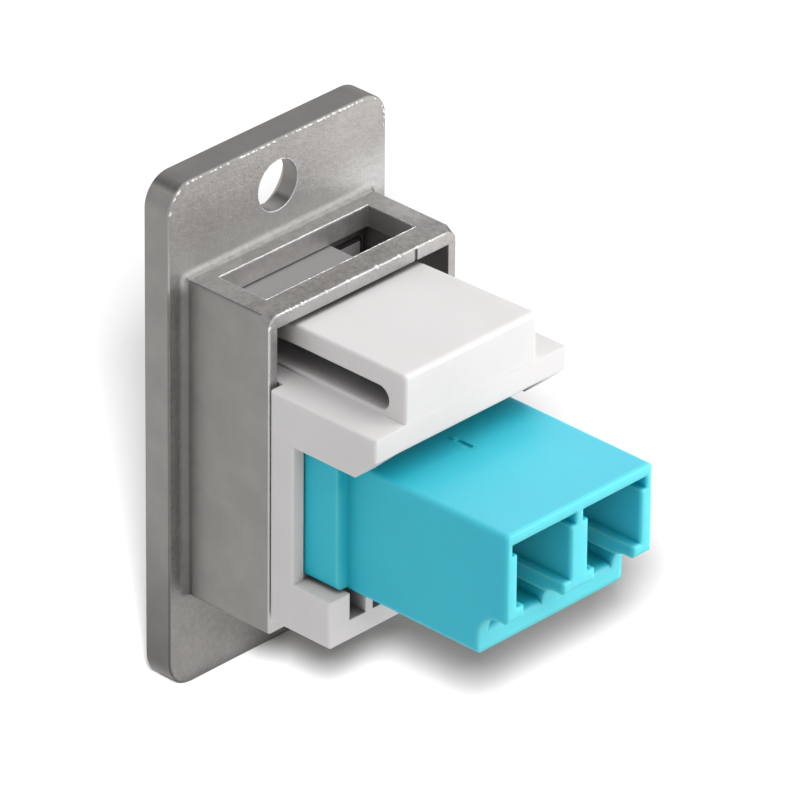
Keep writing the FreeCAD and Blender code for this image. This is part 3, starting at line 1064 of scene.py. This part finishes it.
@dataclass
class CastFrame:
    """The metal frame: its node, and the plated seams on its plate, box, window and hole.

    An inset or an outset is how far a seam's line lies inside or outside the edge that it follows.
    """

    plate_size: Pair = (19.1, 35.6)
    plate_corner: float = 2.0
    plate_inset: float = 0.18
    plate_seam_level: float = 0.045
    box_size: Pair = (16.47, 22.3)
    box_depth: float = 7.36
    box_corners: Pair = (0.95, 0.2)
    box_inset: float = 0.06
    window_size: Pair = (13.1, 4.0)
    window_setback: float = 1.4
    window_corner: float = 0.06
    window_outset: float = 0.06
    window_seam_depth: float = 0.05
    hole_diameter: float = 3.5
    hole_height: float = 14.5
    hole_outset: float = 0.01
    hole_seam_level: float = 0.03

    def seams(self) -> list[PlatedSeam]:
        """The seams of the casting's rear-facing edges and of the window's mouth."""
        across_up = (0, 2)
        across_along = (0, 1)
        corner = self.plate_corner - self.plate_inset
        hole = self.hole_diameter + 2 * self.hole_outset
        return [
            PlatedSeam(
                "plate_edge_seam", across_up, centre_mm=(0, 0), level_mm=self.plate_seam_level,
                size_mm=tuple(size - 2 * self.plate_inset for size in self.plate_size),
                corners_mm=(corner, corner), thickness_mm=0.07, seed=3, unevenness=0.5, fade_mm=9.0,
                bead_mm=0.11, bead_spacing_mm=0.36, bead_share=0.62,
            ),
            PlatedSeam(
                "box_rim_seam", across_up, centre_mm=(0, 0), level_mm=-self.box_depth + self.box_inset,
                size_mm=tuple(size - 2 * self.box_inset for size in self.box_size),
                corners_mm=tuple(radius - self.box_inset for radius in self.box_corners),
                thickness_mm=0.07, seed=5, unevenness=0.5, fade_mm=16.0,
                bead_mm=0.17, bead_spacing_mm=0.42, bead_share=0.5, bead_end_mm=6.5,
            ),
            PlatedSeam(
                "window_seam", across_along, centre_mm=(0, -self.window_setback - self.window_size[1] / 2),
                level_mm=self.box_size[1] / 2 - self.window_seam_depth,
                size_mm=tuple(size + 2 * self.window_outset for size in self.window_size),
                corners_mm=(self.window_corner, self.window_corner), thickness_mm=0.13, seed=7,
                unevenness=0.6, bead_mm=0.03, bead_spacing_mm=0.3,
            ),
            PlatedSeam(
                "screw_hole_seam", across_up, centre_mm=(0, self.hole_height), level_mm=self.hole_seam_level,
                size_mm=(hole, hole), corners_mm=(hole / 2, hole / 2), thickness_mm=0.08, seed=9,
            ),
        ]

    def build(self, dresser: Dresser, effects: Effects) -> None:
        """Dresses the frame and adds its seams.

        Args:
            dresser: What gives the finishes.
            effects: The shared node groups.
        """
        dresser.node("panel_frame", CastNickel("sandy satin nickel").material(effects), Slot.NICKEL)
        # The seams' metal has no painted shade, and keeps painted light, highlights and glints.
        bright = CastNickel(
            "bright seam nickel", colour=(0.58, 0.57, 0.555), sandy_roughness=0.32, smooth_roughness=0.28,
            grain_mm=0.25, grain_depth_mm=0.03, speckle=1.8, side_painted_shade=0.0, top_painted_shade=0.0,
            corner_painted_shade=0.0, root_painted_shade=0.0, low_painted_shade=0.0, crevice_shade=0.0, rim_highlight=0.2,
            wall_light_share=0.0,
        )
        finish = bright.material(effects)
        for seam in self.seams():
            dresser.piece(seam.build(), finish)


@dataclass
class SnapHolder:
    """The white holder with its hairpin latch."""

    colour: Triple = (0.865, 0.845, 0.843)
    scatter_mm: Triple = (0.5, 0.45, 0.4)
    shaded_above_mm: float = 7.8

    def build(self, dresser: Dresser, effects: Effects) -> None:
        """Dresses the holder.

        Args:
            dresser: What gives the finishes.
            effects: The shared node groups.
        """
        finish = MouldedPlastic(
            "white satin plastic", self.colour, self.scatter_mm, dim_above_mm=self.shaded_above_mm
        )
        dresser.node("keystone_holder", finish.material(effects), Slot.WHITE)


@dataclass
class DuplexAdapter:
    """The aqua adapter, the two inserts in its front and the ceramic sleeves they hold."""

    colour: Triple = (0.055, 0.68, 0.84)
    scatter_mm: Triple = (0.12, 0.55, 0.65)
    # The colour of the painted highlight on the edges.
    edge_highlight_colour: Triple = (0.25, 0.94, 1.0)
    shade_colour: Triple = (0.0, 0.56, 0.73)
    bounce: Triple = (0.38, 0.43, 0.43)
    sides: tuple[str, str] = ("left", "right")

    def build(self, dresser: Dresser, effects: Effects) -> None:
        """Dresses the adapter, its inserts and the sleeves.

        Args:
            dresser: What gives the finishes.
            effects: The shared node groups.
        """
        # Painted highlights on the edges and rear end, and painted shade in the hollows.
        aqua = MouldedPlastic(
            "aqua satin plastic", self.colour, self.scatter_mm, scatter=0.7, roughness=0.55, gloss_level=0.28,
            edge_mm=0.5, edge_gain=4.5, edge_highlight=0.7, edge_highlight_colour=self.edge_highlight_colour, end_highlight=0.5,
            shade=0.93, shade_colour=self.shade_colour, shade_mm=3.0, shade_openness=(0.93, 0.42),
            bounce=self.bounce, top_coat=0.9,
        )
        plastic = aqua.material(effects)
        ceramic = GroundCeramic().material(effects)
        dresser.node("adapter_body", plastic, Slot.AQUA)
        for side in self.sides:
            dresser.node("sleeve_retainer_" + side, plastic, Slot.AQUA)
            dresser.node("split_sleeve_" + side, ceramic, Slot.CERAMIC)


def add_to_scene(made: bpy.types.Object, place: Vector, turn: Matrix) -> None:
    """Puts a lamp or the camera in its place and links it to the scene.

    Args:
        made: The object.
        place: Its place in metres.
        turn: Its turn, as a matrix of four rows.
    """
    made.matrix_world = Matrix.Translation(place) @ turn
    bpy.context.scene.collection.objects.link(made)


@dataclass(frozen=True)
class Shot:
    """The camera: a long lens that looks down at the coupler's rear left.

    It stands on the line that leaves the origin at the azimuth and elevation, moved aside by the
    shift across and the shift up, and turned about its own axis by the roll.
    """

    azimuth: float = -46.324
    elevation: float = 29.377
    roll: float = 0.5
    distance_mm: float = 665.4
    across_mm: float = 7.617
    up_mm: float = -0.583
    focal_pixels: float = 10700.0
    picture_pixels: float = 800.0
    sensor_mm: float = 36.0
    nearest: float = 0.05
    farthest: float = 20.0

    def axes(self) -> tuple[Vector, Vector, Vector]:
        """The camera's own right, up and back as unit vectors."""
        azimuth, elevation, roll = (math.radians(angle) for angle in (self.azimuth, self.elevation, self.roll))
        level = math.cos(elevation)
        back = Vector((math.sin(azimuth) * level, -math.cos(azimuth) * level, math.sin(elevation)))
        right = Vector((math.cos(azimuth), math.sin(azimuth), 0))
        up = back.cross(right)
        turned_right = right * math.cos(roll) + up * math.sin(roll)
        turned_up = up * math.cos(roll) - right * math.sin(roll)
        return turned_right, turned_up, back

    def build(self) -> None:
        """Makes the camera and hands it to the scene."""
        right, up, back = self.axes()
        place = (right * self.across_mm + up * self.up_mm + back * self.distance_mm) * MM
        data = bpy.data.cameras.new("camera")
        data.sensor_width = self.sensor_mm
        data.lens = self.focal_pixels / self.picture_pixels * self.sensor_mm
        data.clip_start = self.nearest
        data.clip_end = self.farthest
        made = bpy.data.objects.new("camera", data)
        add_to_scene(made, place, Matrix((right, up, back)).transposed().to_4x4())
        bpy.context.scene.camera = made
        log.info("camera at %s, lens %.1f mm", tuple(round(part, 4) for part in place), data.lens)


@dataclass(frozen=True)
class Lamp:
    """A soft square lamp that looks at the coupler from a direction.

    A lamp for the floor lights the floor alone, and every other lamp leaves the floor out, so that
    the floor's brightness and shadow are set apart from the light on the coupler.
    """

    name: str
    direction: Triple
    distance: float
    size: float
    power: float
    for_floor: bool = False

    def build(self, floor: bpy.types.Object) -> None:
        """Makes the lamp.

        Args:
            floor: The floor.
        """
        data = bpy.data.lights.new(self.name, "AREA")
        data.size = self.size
        data.energy = self.power
        made = bpy.data.objects.new(self.name, data)
        towards = Vector(self.direction).normalized()
        add_to_scene(made, towards * self.distance, towards.to_track_quat("Z", "Y").to_matrix().to_4x4())
        lit = bpy.data.collections.new(self.name + " lights")
        lit.objects.link(floor)
        lit.collection_objects[0].light_linking.link_state = "INCLUDE" if self.for_floor else "EXCLUDE"
        made.light_linking.receiver_collection = lit
        log.info("lamp %s of %.2f W", self.name, self.power)


@dataclass(frozen=True)
class Studio:
    """The set: a pale floor that the coupler stands on, a plain sky and soft lamps."""

    floor_half: float = 1.5
    floor_points: int = 5
    floor_colour: float = 0.31
    floor_seen: float = 0.68
    sky: float = 0.42
    lamps: tuple[Lamp, ...] = (
        Lamp("key", (0.05, -0.5, 0.85), distance=0.5, size=0.5, power=1.26),
        Lamp("side lamp", (0.72, -0.45, 0.53), distance=0.5, size=0.4, power=0.73),
        Lamp("card", (0.66, -0.7, -0.1), distance=0.08, size=0.055, power=0.0255),
        Lamp("floor lamp", (-0.6, -0.6, 0.63), distance=0.8, size=0.14, power=15.2, for_floor=True),
    )

    @staticmethod
    def seen(graph: Graph) -> Socket:
        """1 where the camera sees the set, also in a reflection or through something clear.

        Args:
            graph: The graph of a material or the world.

        Returns:
            The mask's socket.
        """
        rays = graph.add("ShaderNodeLightPath").outputs
        return graph.highest(rays["Is Glossy Ray"], rays["Is Transmission Ray"], rays["Is Camera Ray"])

    def floor(self, level: float) -> bpy.types.Object:
        """Makes the floor, which the camera sees paler than it lights.

        The floor is a flat grid: x and y run evenly over its width, and z stays at the level.

        Args:
            level: The floor's height in metres.

        Returns:
            The floor.
        """
        run = np.linspace(-self.floor_half, self.floor_half, self.floor_points)
        across, along = np.meshgrid(run, run, indexing="ij")
        points = np.stack((across, along, np.full_like(across, level)), axis=-1)
        made = Surface(points).to_object("floor")
        material = bpy.data.materials.new("pale floor")
        graph = cleared(material)
        plain, pale = (rgba((grey,) * 3) for grey in (self.floor_colour, self.floor_seen))
        surface = graph.add("ShaderNodeBsdfDiffuse")
        graph.link(graph.blend(self.seen(graph), plain, pale), surface.inputs["Color"])
        graph.link(surface.outputs[0], graph.add("ShaderNodeOutputMaterial").inputs["Surface"])
        made.data.materials.append(material)
        made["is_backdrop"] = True
        return made

    def world(self) -> None:
        """Makes the sky: plain and dim as a light, and white where the camera sees it."""
        world = bpy.data.worlds.new("plain sky")
        bpy.context.scene.world = world
        graph = cleared(world)
        light = graph.add("ShaderNodeBackground", Strength=1.0)
        graph.link(graph.blend(self.seen(graph), rgba((self.sky,) * 3), WHITE), light.inputs["Color"])
        graph.link(light.outputs[0], graph.add("ShaderNodeOutputWorld").inputs["Surface"])

    def build(self, level: float) -> None:
        """Makes the whole set.

        Args:
            level: The floor's height in metres.
        """
        floor = self.floor(level)
        self.world()
        for lamp in self.lamps:
            lamp.build(floor)
        bpy.context.scene.view_settings.view_transform = "Standard"


def main() -> None:
    """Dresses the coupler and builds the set."""
    logging.basicConfig(level=logging.INFO, format="%(message)s")
    before = [list(corner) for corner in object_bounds()]
    effects = Effects()
    dresser = Dresser(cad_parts)
    CastFrame().build(dresser, effects)
    SnapHolder().build(dresser, effects)
    DuplexAdapter().build(dresser, effects)
    Studio().build(before[0][2])
    Shot().build()


if __name__ == "__main__":
    main()
